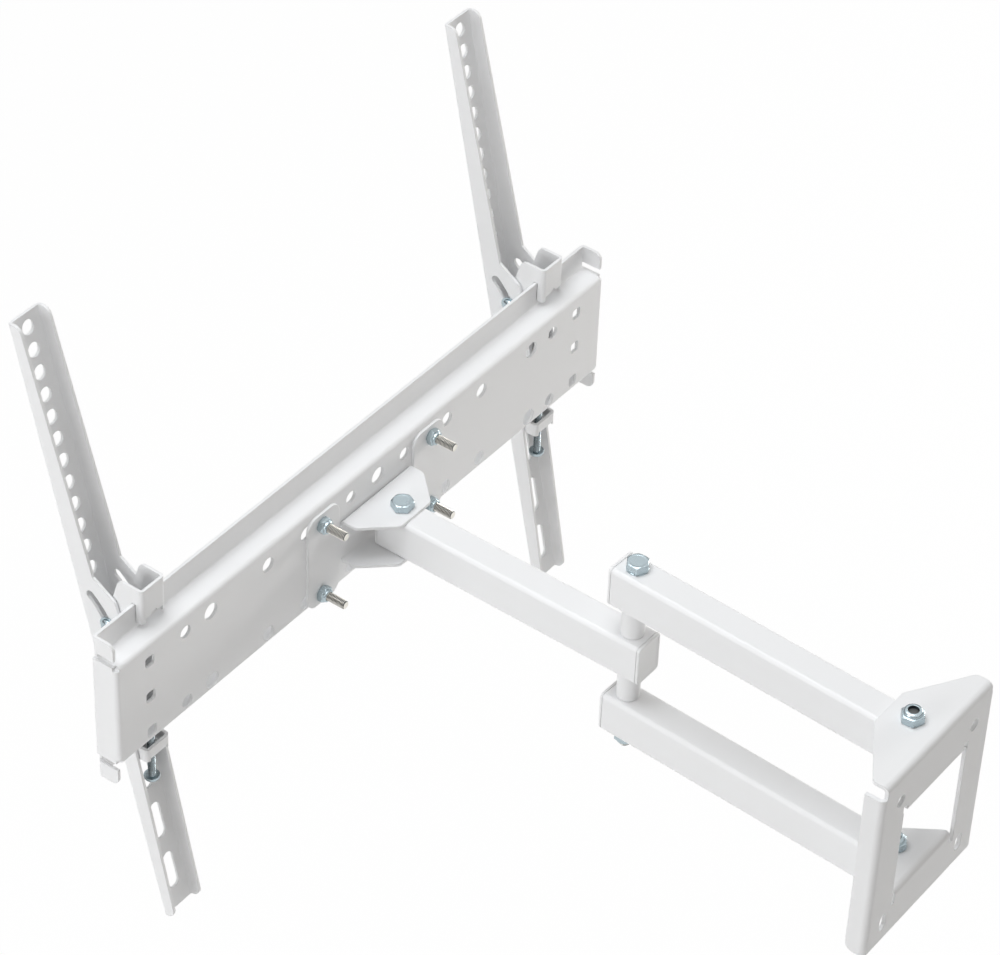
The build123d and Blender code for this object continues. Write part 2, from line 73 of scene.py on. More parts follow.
# %% [markdown]
# The camera stands high on the wall side of the mount and looks down along the arms, with a long
# lens. It is set by an aim: the direction from which it looks, a small roll, its distance, and how
# far the object's origin lies off the middle of the picture. A look-at constraint would hide these
# values.

# %% Camera
camera_azimuth = radians(54.676)
camera_elevation = radians(40.655)
camera_roll = radians(2.483)
camera_distance = 2.2234
camera_right = 0.24603
camera_up = -0.19617
camera_lens = 139.82
camera_sensor = 36
camera_reach = 50


def aim_camera():
    """Place the camera by its direction from the origin, its roll and its offsets."""
    flat = cos(camera_elevation)
    toward = Vector((sin(camera_azimuth) * flat, cos(camera_azimuth) * flat, sin(camera_elevation)))
    level = (-toward).cross(Vector((0, 0, 1))).normalized()
    upright = level.cross(-toward)
    right = cos(camera_roll) * level + sin(camera_roll) * upright
    above = -sin(camera_roll) * level + cos(camera_roll) * upright
    data = bpy.data.cameras.new("camera")
    data.lens = camera_lens
    data.sensor_width = camera_sensor
    data.clip_end = camera_reach
    camera = bpy.data.objects.new("camera", data)
    turn = Matrix((right, above, toward)).transposed().to_4x4()
    place = toward * camera_distance - right * camera_right - above * camera_up
    camera.matrix_world = Matrix.Translation(place) @ turn
    bpy.context.scene.collection.objects.link(camera)
    bpy.context.scene.camera = camera
    return camera


camera = aim_camera()
print("camera at", [round(c, 3) for c in camera.matrix_world.translation])

# %% [markdown]
# Studio light. White painted steel shows its form only by the difference between its faces, so each
# direction gets its own level: a broad cool lamp above, a second one on the crossbar's left, and an
# even warm fill. Both lamps stand a little towards the screen's side. A small third one grazes the
# wall side from the right: it lights the crossbar's back, but the flanges keep it out of the folded
# channels, which stay dark inside. Floor and world show plain white to the camera. Metal mirrors a
# sky that is dim along the horizon, or zinc would look like chalk.

# %% Lights, world and floor
floor_drop = 0.30
floor_half_width = 6.0
floor_grey = (0.92, 0.92, 0.92, 1)
floor_own_white = 0.975
fill_level = 0.285
fill_colour = (1.0, 0.96, 0.905)
horizon_level = 0.12
horizon_top, overhead_foot = 0.15, 0.55
white = (1, 1, 1, 1)


def ray_mask(nodes, links, *kinds):
    """A mask that is 1 for rays of the named kinds."""
    path = nodes.new("ShaderNodeLightPath")
    mask = path.outputs[kinds[0]]
    for kind in kinds[1:]:
        either = nodes.new("ShaderNodeMath")
        either.operation = "MAXIMUM"
        links.new(mask, either.inputs[0])
        links.new(path.outputs[kind], either.inputs[1])
        mask = either.outputs[0]
    return mask


def mirror_sky(nodes, links):
    """What metal mirrors: white overhead, dim along the horizon, as in a real studio."""
    directions = nodes.new("ShaderNodeTexCoord")
    split = nodes.new("ShaderNodeSeparateXYZ")
    links.new(directions.outputs["Generated"], split.inputs[0])
    rise = nodes.new("ShaderNodeMapRange")
    for label, value in (
            ("From Min", horizon_top), ("From Max", overhead_foot),
            ("To Min", horizon_level), ("To Max", 1.0)):
        rise.inputs[label].default_value = value
    links.new(split.outputs["Z"], rise.inputs["Value"])
    sky = nodes.new("ShaderNodeBackground")
    sky.inputs["Color"].default_value = white
    links.new(rise.outputs["Result"], sky.inputs["Strength"])
    return sky.outputs[0]


def light_world():
    """An even fill for dull surfaces, the sky for mirrors and plain white for the eye."""
    world = bpy.data.worlds.new("studio")
    bpy.context.scene.world = world
    world.use_nodes = True
    nodes, links = world.node_tree.nodes, world.node_tree.links
    nodes.clear()
    fill = nodes.new("ShaderNodeBackground")
    fill.inputs["Color"].default_value = (*fill_colour, 1)
    fill.inputs["Strength"].default_value = fill_level
    backdrop = nodes.new("ShaderNodeBackground")
    backdrop.inputs["Color"].default_value = white
    inner = nodes.new("ShaderNodeMixShader")
    links.new(ray_mask(nodes, links, "Is Glossy Ray"), inner.inputs["Fac"])
    links.new(fill.outputs[0], inner.inputs[1])
    links.new(mirror_sky(nodes, links), inner.inputs[2])
    mix = nodes.new("ShaderNodeMixShader")
    links.new(ray_mask(nodes, links, "Is Camera Ray", "Is Transmission Ray"), mix.inputs["Fac"])
    links.new(inner.outputs[0], mix.inputs[1])
    links.new(backdrop.outputs[0], mix.inputs[2])
    out = nodes.new("ShaderNodeOutputWorld")
    links.new(mix.outputs[0], out.inputs["Surface"])


def lamp(name, place, target, size, power, colour):
    """A square area lamp that faces a point."""
    data = bpy.data.lights.new(name, "AREA")
    data.size = size
    data.energy = power
    data.color = colour
    obj = bpy.data.objects.new(name, data)
    obj.location = place
    obj.rotation_euler = (Vector(place) - Vector(target)).to_track_quat("Z", "Y").to_euler()
    bpy.context.scene.collection.objects.link(obj)
    return obj


def lay_floor():
    """A broad pale floor under the mount that shows white and keeps a soft shadow."""
    mesh = bpy.data.meshes.new("floor")
    half = floor_half_width
    level = cad_box[0].z - floor_drop
    mesh.from_pydata(
        [(-half, -half, level), (half, -half, level), (half, half, level), (-half, half, level)],
        [], [(0, 1, 2, 3)])
    plane = bpy.data.objects.new("floor", mesh)
    bpy.context.scene.collection.objects.link(plane)
    material = bpy.data.materials.new("pale_floor")
    material.use_nodes = True
    nodes, links = material.node_tree.nodes, material.node_tree.links
    nodes.clear()
    matt = nodes.new("ShaderNodeBsdfDiffuse")
    matt.inputs["Color"].default_value = floor_grey
    plain = nodes.new("ShaderNodeEmission")
    plain.inputs["Color"].default_value = white
    share = nodes.new("ShaderNodeMath")
    share.operation = "MULTIPLY"
    share.inputs[1].default_value = floor_own_white
    seen = ray_mask(nodes, links, "Is Camera Ray", "Is Glossy Ray", "Is Transmission Ray")
    links.new(seen, share.inputs[0])
    mix = nodes.new("ShaderNodeMixShader")
    links.new(share.outputs[0], mix.inputs["Fac"])
    links.new(matt.outputs[0], mix.inputs[1])
    links.new(plain.outputs[0], mix.inputs[2])
    out = nodes.new("ShaderNodeOutputMaterial")
    links.new(mix.outputs[0], out.inputs["Surface"])
    mesh.materials.append(material)
    return plane


middle = (cad_box[0] + cad_box[1]) / 2
light_world()
lamp("overhead", middle + Vector((0.25, -0.35, 2.2)), middle, 1.6, 36, (0.95, 0.975, 1.0))
lamp("left_side", middle + Vector((2.2, -0.4, 0.45)), middle, 1.0, 17.5, (0.98, 0.99, 1.0))
lamp("right_side", middle + Vector((-2.2, 0.48, 0.25)), middle, 0.6, 22, (1.0, 0.98, 0.945))
lay_floor()
bpy.context.scene.view_settings.view_transform = "Standard"
print("lamps and floor in place")

# %% [markdown]
# Two effects are shared by several finishes, so each is a node group with named inputs.
# The first is the fine relief of a sprayed or moulded skin: powder coat melts into a shallow orange
# peel, plastic keeps the spark-eroded grain of its mould, and zinc a faint barrel-polished texture.
# The second is handling: broad, soft patches where a surface is a little darker, and small smears
# where it is a little duller.

# %% Shared shader groups
smears_per_metre = 60.0


def new_group(name, inputs, outputs):
    """A shader node group with float inputs, and outputs of a given kind."""
    group = bpy.data.node_groups.new(name, "ShaderNodeTree")
    for label, value in inputs:
        socket = group.interface.new_socket(label, in_out="INPUT", socket_type="NodeSocketFloat")
        socket.default_value = value
    for label, kind in outputs:
        group.interface.new_socket(label, in_out="OUTPUT", socket_type=kind)
    return group, group.nodes.new("NodeGroupInput"), group.nodes.new("NodeGroupOutput")


def noise(tree, source, scale, detail, roughness=0.5):
    """A noise texture on object coordinates in metres."""
    node = tree.nodes.new("ShaderNodeTexNoise")
    node.inputs["Detail"].default_value = detail
    node.inputs["Roughness"].default_value = roughness
    tree.links.new(source, node.inputs["Vector"])
    if isinstance(scale, (int, float)):
        node.inputs["Scale"].default_value = scale
    else:
        tree.links.new(scale, node.inputs["Scale"])
    return node.outputs["Fac"]


def reckon(tree, operation, *values):
    """One math node, fed by sockets or plain numbers."""
    node = tree.nodes.new("ShaderNodeMath")
    node.operation = operation
    for index, value in enumerate(values):
        if isinstance(value, (int, float)):
            node.inputs[index].default_value = value
        else:
            tree.links.new(value, node.inputs[index])
    return node.outputs[0]


def build_skin_relief():
    """Fine relief with a coarser swell under it; its height feeds a Bump node."""
    group, given, out = new_group(
        "skin_relief",
        [("Grain per metre", 900.0), ("Swell per metre", 120.0), ("Swell share", 0.4)],
        [("Height", "NodeSocketFloat")])
    place = group.nodes.new("ShaderNodeTexCoord").outputs["Object"]
    grain = noise(group, place, given.outputs["Grain per metre"], detail=2.0)
    swell = noise(group, place, given.outputs["Swell per metre"], detail=1.0)
    share = given.outputs["Swell share"]
    lifted = reckon(group, "MULTIPLY", swell, share)
    rest = reckon(group, "SUBTRACT", 1.0, share)
    height = reckon(group, "MULTIPLY_ADD", grain, rest, lifted)
    group.links.new(height, out.inputs["Height"])
    return group


def build_handling():
    """Soft patches: a tone about 1 for the colour, and a roughness about its own middle."""
    group, given, out = new_group(
        "handling",
        [("Patch per metre", 9.0), ("Tone spread", 0.02),
         ("Roughness", 0.4), ("Roughness spread", 0.05)],
        [("Tone", "NodeSocketFloat"), ("Roughness", "NodeSocketFloat")])
    place = group.nodes.new("ShaderNodeTexCoord").outputs["Object"]
    patch = noise(group, place, given.outputs["Patch per metre"], detail=4.0, roughness=0.6)
    off_centre = reckon(group, "SUBTRACT", patch, 0.5)
    tone = reckon(group, "MULTIPLY_ADD", off_centre, given.outputs["Tone spread"], 1.0)
    fine = noise(group, place, smears_per_metre, detail=3.0, roughness=0.6)
    fine_off = reckon(group, "SUBTRACT", fine, 0.5)
    rough = reckon(
        group, "MULTIPLY_ADD", fine_off,
        given.outputs["Roughness spread"], given.outputs["Roughness"])
    group.links.new(tone, out.inputs["Tone"])
    group.links.new(rough, out.inputs["Roughness"])
    return group


skin_relief = build_skin_relief()
handling = build_handling()
print("groups", [g.name for g in bpy.data.node_groups])

# %% [markdown]
# A finish puts these groups round one Principled shader. The Bevel node rounds the sheet's cut
# edges for the light only, as paint does when it flows: that gives each edge its thin bright line,
# with no change to the CAD mesh.

# %% Finish builder
edge_samples = 4
relief_height = 0.00004


def finish(name, colour, relief, patches, edge, bump, metallic=0.0):
    """A material: colour and roughness after handling, with relief on edges rounded by a radius."""
    material = bpy.data.materials.new(name)
    material.use_nodes = True
    tree = material.node_tree
    tree.nodes.clear()
    shader = tree.nodes.new("ShaderNodeBsdfPrincipled")
    shader.inputs["Metallic"].default_value = metallic
    worn = tree.nodes.new("ShaderNodeGroup")
    worn.node_tree = handling
    for label, value in patches.items():
        worn.inputs[label].default_value = value
    skin = tree.nodes.new("ShaderNodeGroup")
    skin.node_tree = skin_relief
    for label, value in relief.items():
        skin.inputs[label].default_value = value
    tint = tree.nodes.new("ShaderNodeMix")
    tint.data_type = "RGBA"
    tint.blend_type = "MULTIPLY"
    tint.inputs["Factor"].default_value = 1.0
    tint.inputs["A"].default_value = (*colour, 1)
    tree.links.new(worn.outputs["Tone"], tint.inputs["B"])
    tree.links.new(tint.outputs["Result"], shader.inputs["Base Color"])
    tree.links.new(worn.outputs["Roughness"], shader.inputs["Roughness"])
    rounded = tree.nodes.new("ShaderNodeBevel")
    rounded.samples = edge_samples
    rounded.inputs["Radius"].default_value = edge
    bump_node = tree.nodes.new("ShaderNodeBump")
    bump_node.inputs["Strength"].default_value = bump
    bump_node.inputs["Distance"].default_value = relief_height
    tree.links.new(skin.outputs["Height"], bump_node.inputs["Height"])
    tree.links.new(rounded.outputs["Normal"], bump_node.inputs["Normal"])
    tree.links.new(bump_node.outputs["Normal"], shader.inputs["Normal"])
    out = tree.nodes.new("ShaderNodeOutputMaterial")
    tree.links.new(shader.outputs[0], out.inputs["Surface"])
    return material


powder_coat = finish(
    "white_powder_coat", (0.865, 0.87, 0.88),
    {"Grain per metre": 700.0, "Swell per metre": 160.0, "Swell share": 0.55},
    {"Patch per metre": 7.0, "Tone spread": 0.03, "Roughness": 0.42, "Roughness spread": 0.08},
    edge=0.0006, bump=0.35)
cap_plastic = finish(
    "cap_plastic", (0.85, 0.855, 0.86),
    {"Grain per metre": 2600.0, "Swell per metre": 60.0, "Swell share": 0.2},
    {"Patch per metre": 20.0, "Tone spread": 0.02, "Roughness": 0.5, "Roughness spread": 0.05},
    edge=0.0005, bump=0.25)
zinc_plate = finish(
    "zinc_plate", (0.46, 0.54, 0.575),
    {"Grain per metre": 1500.0, "Swell per metre": 300.0, "Swell share": 0.6},
    {"Patch per metre": 90.0, "Tone spread": 0.30, "Roughness": 0.27, "Roughness spread": 0.16},
    edge=0.0002, bump=0.35, metallic=1.0)
thread_zinc = finish(
    "thread_zinc", (0.82, 0.79, 0.73),
    {"Grain per metre": 2500.0, "Swell per metre": 400.0, "Swell share": 0.5},
    {"Patch per metre": 150.0, "Tone spread": 0.35, "Roughness": 0.32, "Roughness spread": 0.15},
    edge=0.0001, bump=0.3, metallic=1.0)
# Near black, painted shade: deep thread faces, the nut's bore and the wall bolts' ends.
painted_groove_shade = finish(
    "painted_groove_shade", (0.12, 0.125, 0.125),
    {"Grain per metre": 2500.0, "Swell per metre": 400.0, "Swell share": 0.5},
    {"Patch per metre": 150.0, "Tone spread": 0.35, "Roughness": 0.5, "Roughness spread": 0.15},
    edge=0.0001, bump=0.3, metallic=0.6)
# The nylon ring is real; its near-black colour is painted shade in the nut's mouth.
shaded_nylon_ring = finish(
    "shaded_nylon_ring", (0.10, 0.13, 0.16),
    {"Grain per metre": 1800.0, "Swell per metre": 200.0, "Swell share": 0.4},
    {"Patch per metre": 60.0, "Tone spread": 0.1, "Roughness": 0.45, "Roughness spread": 0.1},
    edge=0.0001, bump=0.2)
print("finishes", len(bpy.data.materials))

# %% [markdown]
# Every CAD node takes the finish of its material slot. The meshes stay as they came, because the
# folded sheets, tubes and washers already have their true shape.

# %% Dress the CAD nodes
slot_finish = {
    "white_powder_coat": powder_coat, "zinc_plate": zinc_plate, "white_plastic": cap_plastic}
slots = {row["node"]: row["material_slot"] for row in frame["record"]["subparts"]}
for name, obj in frame["nodes"].items():
    obj.data.materials.clear()
    obj.data.materials.append(slot_finish[slots[name]])
print("dressed", len(slots))

# %% [markdown]
# Fasteners are where a plain model looks plain. A forged hexagon is a prism whose corners are turned
# off by a cone, so its edge runs in six small arcs. That shape comes from one rule: at each angle
# the radius is the smaller of the hexagon's and the cone's. Rings of points that follow the rule,
# joined by quads, make heads, nuts, collars and pan heads alike.

# %% Rings and skins
ring_steps = 72
cone_slope = tan(radians(30))
cone_foot = 0.955
cone_levels = (0, 0.34, 0.67, 1)
past_corner = 0.02


def hexagon_radius(flats, angle):
    """How far a hexagon's outline lies from its axis at an angle; a corner is at angle 0."""
    sixth = pi / 3
    off = angle - sixth * floor(angle / sixth) - sixth / 2
    return flats / 2 / cos(off)


def ring(mesh, height, radius):
    """Points round the axis at a height; the radius is a number or a rule of the angle."""
    points = []
    for step in range(ring_steps):
        angle = 2 * pi * step / ring_steps
        r = radius(angle) if callable(radius) else radius
        points.append(mesh.verts.new((r * cos(angle) * MM, r * sin(angle) * MM, height * MM)))
    return points


def skin(mesh, rings, finish_index=0):
    """Quads between rings of equal count, each ring joined to the next."""
    for low, high in zip(rings, rings[1:]):
        count = len(low)
        for k in range(count):
            face = mesh.faces.new((low[k], low[(k + 1) % count], high[(k + 1) % count], high[k]))
            face.material_index = finish_index
            face.smooth = True


def lid(mesh, edge, upward, finish_index=0):
    """A flat face on a ring."""
    face = mesh.faces.new(edge if upward else list(reversed(edge)))
    face.material_index = finish_index
    return face


def turned_hexagon(mesh, flats, low, high, both_ends):
    """Rings of a hexagon from one height to another, its corners turned off by a cone."""
    corner = flats / 2 / cos(pi / 6) + past_corner
    inner = flats / 2 * cone_foot
    deep = (corner - inner) * cone_slope
    rings = []
    levels = [low + deep * t for t in cone_levels] if both_ends else [low]
    levels += [high - deep * t for t in reversed(cone_levels)]
    for z in levels:
        reach = inner + min(z - low if both_ends else corner, high - z) / cone_slope
        rings.append(ring(mesh, z, lambda a, m=reach: min(hexagon_radius(flats, a), m)))
    return rings


print("ring of", ring_steps, "points")

# %% [markdown]
# A rolled thread is a helix. Here each ring of the shank is cut by the same helix: a point's radius
# depends on how far round and how far along it lies. The mesh stays a simple tube, and the thread
# has real depth that catches the light, also along its outline. Depths are shares of the pitch or
# of the thread's own depth.
# The faces deep in each groove are painted near black, as shade.

# %% Threads
thread_steps = 28
thread_rows = 6
thread_depth = 0.55
flank_steepness = 1.25
# Faces deeper than this share of the thread's depth get painted shade.
groove_shade_from = 0.55
end_taper, end_step = 0.75, 0.12


def threaded_rod(mesh, radius, pitch, top, foot, chamfer, finishes):
    """A right-hand thread from top to foot; finishes are for its crest, for the painted shade deep between its
    flanks, and for its end.
    """
    crest_finish, groove_shade_finish, end_finish = finishes
    depth = thread_depth * pitch
    rows = int((top - foot) / pitch * thread_rows)
    rings = []
    for row in range(rows + 1):
        z = top - (top - foot) * row / rows
        lost = 1 - min(1.0, (z - foot) / chamfer)
        points = []
        for step in range(thread_steps):
            angle = 2 * pi * step / thread_steps
            turn = (z / pitch - step / thread_steps) % 1.0
            sunk = 1 - abs(2 * turn - 1)
            r = radius - depth * min(1.0, flank_steepness * sunk)
            r = min(r, radius - end_taper * depth * lost - end_step * lost)
            points.append(mesh.verts.new((r * cos(angle) * MM, r * sin(angle) * MM, z * MM)))
        rings.append(points)
    before = set(mesh.faces)
    skin(mesh, list(reversed(rings)), crest_finish)
    # Faces deep in the groove get the near-black finish: painted shade.
    for face in set(mesh.faces) - before:
        if face.calc_center_median().xy.length < (radius - groove_shade_from * depth) * MM:
            face.material_index = groove_shade_finish
    lid(mesh, rings[-1], False, end_finish)


def plain_rod(mesh, radius, top, foot, finish_index):
    """The smooth part of a shank, with as many points round as the thread."""
    angles = [2 * pi * step / thread_steps for step in range(thread_steps)]
    rings = [
        [mesh.verts.new((radius * cos(a) * MM, radius * sin(a) * MM, z * MM)) for a in angles]
        for z in (foot, top)]
    skin(mesh, rings, finish_index)


def fresh_piece(name, mesh, finishes, place, sharp=35):
    """Turn a bmesh into an object at a place, with its finishes and its sharp edges."""
    bmesh.ops.recalc_face_normals(mesh, faces=mesh.faces)
    for edge in mesh.edges:
        if len(edge.link_faces) == 2 and edge.calc_face_angle() > radians(sharp):
            edge.smooth = False
    mesh.transform(place)
    data = bpy.data.meshes.new(name)
    mesh.to_mesh(data)
    mesh.free()
    for material in finishes:
        data.materials.append(material)
    obj = bpy.data.objects.new(name, data)
    bpy.context.scene.collection.objects.link(obj)
    return obj


def join_pieces(name, pieces):
    """Several meshes as one object."""
    whole = bmesh.new()
    for piece in pieces:
        whole.from_mesh(piece.data)
    data = bpy.data.meshes.new(name)
    whole.to_mesh(data)
    whole.free()
    for material in pieces[0].data.materials:
        data.materials.append(material)
    for piece in pieces:
        bpy.data.objects.remove(piece)
    obj = bpy.data.objects.new(name, data)
    bpy.context.scene.collection.objects.link(obj)
    return obj


print("thread rows for each turn", thread_rows)

# %% [markdown]
# A hexagon bolt is forged: a head with a turned top and a thin washer face under it, then a plain
# shank, then the rolled thread. Only the thread's part is meshed as a helix, since the rest is
# hidden in tubes and brackets. A locking nut has a collar that is rolled in over a nylon ring.
# Radii are shares of half the hexagon's width across flats, and heights are shares of the nut's.
# The nylon ring is real, but its near-black colour is painted shade, as is the bore under it.

# %% Bolts
zinc, rolled, groove_shade, shaded_nylon = 0, 1, 2, 3
fastener_finishes = [zinc_plate, thread_zinc, painted_groove_shade, shaded_nylon_ring]
shank_play, shank_lap = 0.02, 0.2
end_chamfer = 0.1
disc_foot, disc_top, disc_height = 0.94, 0.96, 0.3
dish_rim, dish_floor, dish_depth = 0.80, 0.74, 0.12
nut_body, nut_collar, nut_play = 0.70, 0.88, 0.03
collar_lift, collar_straight = 0.05, 0.84
collar_curve = ((0.91, 0.12), (0.97, 0.40), (1.0, 0.75))
mouth_levels = (0.985, 0.95)
nylon_top, nylon_foot, nylon_bulge = 0.93, 0.6, 0.3


def rolled_shank(mesh, diameter, length, threaded, pitch, end_finish):
    """A plain shank down from z = 0 and its thread below."""
    radius = diameter / 2 - shank_play
    start = -(length - threaded)
    plain_rod(mesh, radius, shank_lap, start, rolled)
    threaded_rod(
        mesh, radius, pitch, start, -length, end_chamfer * diameter, (rolled, groove_shade, end_finish))


def hexagon_bolt(name, place, diameter, flats, head, length, threaded, pitch, end_finish=rolled):
    """The head stands on z = 0 and the shank goes down."""
    mesh = bmesh.new()
    disc = [ring(mesh, 0, flats / 2 * disc_foot), ring(mesh, disc_height, flats / 2 * disc_top)]
    skin(mesh, disc, zinc)
    lid(mesh, disc[0], False, zinc)
    body = turned_hexagon(mesh, flats, disc_height, head, False)
    skin(mesh, body, zinc)
    lid(mesh, body[0], False, zinc)
    rim = ring(mesh, head, flats / 2 * dish_rim)
    dish = ring(mesh, head - dish_depth, flats / 2 * dish_floor)
    skin(mesh, [body[-1], rim, dish], zinc)
    lid(mesh, dish, True, zinc)
    rolled_shank(mesh, diameter, length, threaded, pitch, end_finish)
    return fresh_piece(name, mesh, fastener_finishes, place)


def lock_nut(name, place, diameter, flats, height, mouth=0.15):
    """A nut on z = 0; mouth is how far its collar's rim stays outside the thread."""
    mesh = bmesh.new()
    body_top = nut_body * height
    body = turned_hexagon(mesh, flats, 0, body_top, True)
    skin(mesh, body, zinc)
    bore = diameter / 2 + nut_play
    foot = ring(mesh, 0, bore)
    skin(mesh, [foot, body[0]], zinc)
    wide, rim = flats / 2 * nut_collar, diameter / 2 + mouth
    collar = [body[-1], ring(mesh, body_top + collar_lift, wide)]
    collar.append(ring(mesh, height * collar_straight, wide))
    collar += [ring(mesh, height * z, wide - part * (wide - rim)) for z, part in collar_curve]
    collar += [ring(mesh, height * z, rim) for z in mouth_levels]
    skin(mesh, collar, zinc)
    lining = [
        ring(mesh, height * nylon_top, bore + nylon_bulge), ring(mesh, height * nylon_foot, bore)]
    # The nylon lining, coloured near black as painted shade in the nut's mouth.
    skin(mesh, lining, shaded_nylon)
    # The bore under the nylon ring takes the near-black finish: painted shade inside the nut.
    skin(mesh, [ring(mesh, height * nylon_foot, bore), foot], groove_shade)
    return fresh_piece(name, mesh, fastener_finishes, place)


def upright_place(point, turn=0.0, flip=False):
    """A place for a fastener on a vertical axis, turned about it, head up or head down."""
    matrix = Matrix.Translation(point) @ Matrix.Rotation(radians(turn), 4, "Z")
    return matrix @ Matrix.Rotation(pi, 4, "X") if flip else matrix


def install(piece, body, slot, *nodes):
    """Ride on a body and stand for the CAD nodes; the slot is not used."""
    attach(piece, body)
    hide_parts(*nodes)
    print(piece.name, len(piece.data.polygons), "faces")


def axis_of(node):
    """A point on a node's upright axis at its foot and at its top, in metres."""
    low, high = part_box(node)
    middle = (Vector(low) + Vector(high)) / 2
    return Vector((middle.x, middle.y, low[2])), Vector((middle.x, middle.y, high[2]))


print("finishes of a fastener", [material.name for material in fastener_finishes])

# %% [markdown]
# The M8 pivots: two at the wall with their heads down, so that the nuts can be reached, a long one
# through three tubes at the elbow, and a short one through the head bracket. Each takes its axis
# from the box of its CAD node, and is turned about it as the photograph shows. The wall bolts end
# inside their nuts, whose collars close over the bolts' rims.
# Their end faces are painted near black, as shade inside the nuts.

# %% Pivot bolts and nuts
m8, m8_flats, m8_head, m8_nut, m8_pitch = 8.0, 13.0, 5.3, 8.0, 1.25
pivot_thread = 14
wall_turn, elbow_turn, head_turn = 35.0, 32.0, 5.0
short_of_top, closed_mouth = 2.2, -0.6
head_rise = Vector((0, 0, m8_head * MM))
for row in ("upper", "lower"):
    foot, top = axis_of(row + "_wall_bolt")
    seat = foot + head_rise
    length = (top.z - seat.z) / MM - short_of_top
    # The end face takes the near-black finish: painted shade inside the nut.
    bolt = hexagon_bolt(
        row + "_wall_bolt_detail", upright_place(seat, wall_turn, True),
        m8, m8_flats, m8_head, length, pivot_thread, m8_pitch, groove_shade)
    install(bolt, "wall", "zinc_plate", row + "_wall_bolt")
    foot, top = axis_of(row + "_wall_nut")
    nut = lock_nut(
        row + "_wall_nut_detail", upright_place(foot, wall_turn),
        m8, m8_flats, m8_nut, closed_mouth)
    install(nut, "wall", "zinc_plate", row + "_wall_nut")

for row, body, turn in (("elbow", "rear_arm", elbow_turn), ("head", "head", head_turn)):
    foot, top = axis_of(row + "_bolt")
    seat = top - head_rise
    length = (seat.z - foot.z) / MM
    bolt = hexagon_bolt(
        row + "_bolt_detail", upright_place(seat, turn),
        m8, m8_flats, m8_head, length, pivot_thread, m8_pitch)
    install(bolt, body, "zinc_plate", row + "_bolt")
    foot, top = axis_of(row + "_nut")
    nut = lock_nut(
        row + "_nut_detail", upright_place(top, turn, True), m8, m8_flats, m8_nut)
    install(nut, body, "zinc_plate", row + "_nut")

# %% [markdown]
# Under the elbow bolt's head and nut lies a washer that is hardly wider than the hexagon. A stamped
# washer has one rounded rim, from the punch, and one sharp rim, so its profile is not a plain ring.
# The profile starts and ends at the bore's foot, where its two rings are merged.

# %% Elbow washers
elbow_washer, washer_bore, washer_sheet = 13.6, 8.4, 1.0
punch_round, bore_edge = 0.35, 0.1
same_point = 0.00001


def stamped_washer(name, place):
    """A ring standing on z = 0 whose upper outer rim is rounded."""
    mesh = bmesh.new()
    outer, inner = elbow_washer / 2, washer_bore / 2
    profile = [(0, inner), (0, outer), (washer_sheet - punch_round, outer)]
    for t in (30, 60, 90):
        a = radians(t)
        profile.append((
            washer_sheet - punch_round * (1 - sin(a)), outer - punch_round * (1 - cos(a))))
    profile += [
        (washer_sheet, inner + bore_edge), (washer_sheet - bore_edge, inner), (0, inner)]
    skin(mesh, [ring(mesh, z, r) for z, r in profile], zinc)
    bmesh.ops.remove_doubles(mesh, verts=mesh.verts, dist=same_point)
    return fresh_piece(name, mesh, fastener_finishes, place)


foot, top = axis_of("elbow_washers")
thickness = Vector((0, 0, washer_sheet * MM))
washers = [
    stamped_washer("washer", upright_place(top - thickness)),
    stamped_washer("washer", upright_place(foot + thickness, flip=True))]
install(join_pieces("elbow_washers_detail", washers), "rear_arm", "zinc_plate", "elbow_washers")

# %% [markdown]
# The head bracket is held by four M6 bolts whose heads hide inside the crossbar. Their long
# threaded ends stand out on the wall side, where the camera sees them best, so the helix matters
# here. No two bolts stop at the same angle, so each is turned by a different one.

# %% Crossbar bolts and nuts
m6, m6_flats, m6_head, m6_nut, m6_pitch = 6.0, 10.0, 4.0, 6.0, 1.0
bolt_columns, bolt_rows = (-54.0, 54.0), (-28.0, 28.0)
bar_sheet, head_sheet, pivot_to_bar = 2.0, 2.0, 22.0
bar_bolt_tail, bar_bolt_thread = 13.0, 17
first_turn, turn_step = 12, 17
bar_bolt_length = bar_sheet + head_sheet + m6_nut + bar_bolt_tail
bar_origin = joint_places["head_swivel"] - Vector((0, pivot_to_bar * MM, 0))
toward_wall = Matrix.Rotation(radians(90), 4, "X")
toward_screen = Matrix.Rotation(radians(-90), 4, "X")
bolts, nuts = [], []
for column in bolt_columns:
    for row in bolt_rows:
        turn = first_turn + turn_step * ((column > 0) + 2 * (row > 0))
        spin = Matrix.Rotation(radians(turn), 4, "Z")
        seat = bar_origin + Vector((column, -bar_sheet, row)) * MM
        place = Matrix.Translation(seat) @ toward_wall @ spin
        bolts.append(hexagon_bolt(
            "bolt", place, m6, m6_flats, m6_head, bar_bolt_length, bar_bolt_thread, m6_pitch))
        seat = bar_origin + Vector((column, head_sheet, row)) * MM
        place = Matrix.Translation(seat) @ toward_screen @ spin
        nuts.append(lock_nut("nut", place, m6, m6_flats, m6_nut))
install(join_pieces("crossbar_bolts_detail", bolts), "head", "zinc_plate", "crossbar_bolts")
install(join_pieces("crossbar_nuts_detail", nuts), "head", "zinc_plate", "crossbar_nuts")

# %% [markdown]
# Each upright tilts on two M6 bolts that run in curved slots. They cross the hook sideways, on an
# arc about the tilt axis, so their places come from the joint's own place and two angles. The
# photograph hides their heads, which are drawn as low domes, turned from a short curve of points.

# %% Tilt bolts and nuts
tilt_radius, tilt_pins = 61.4, (30.0, -18.0)
tilt_seat, tilt_bolt_tail, tilt_bolt_thread = 14.1, 2.0, 14
tilt_bolt_length = 2 * tilt_seat + m6_nut + tilt_bolt_tail
dome_height, dome_width = 2.8, 9.4
dome_edge, dome_rim = 0.2, 0.6
dome_angles = (20, 40, 60, 75)


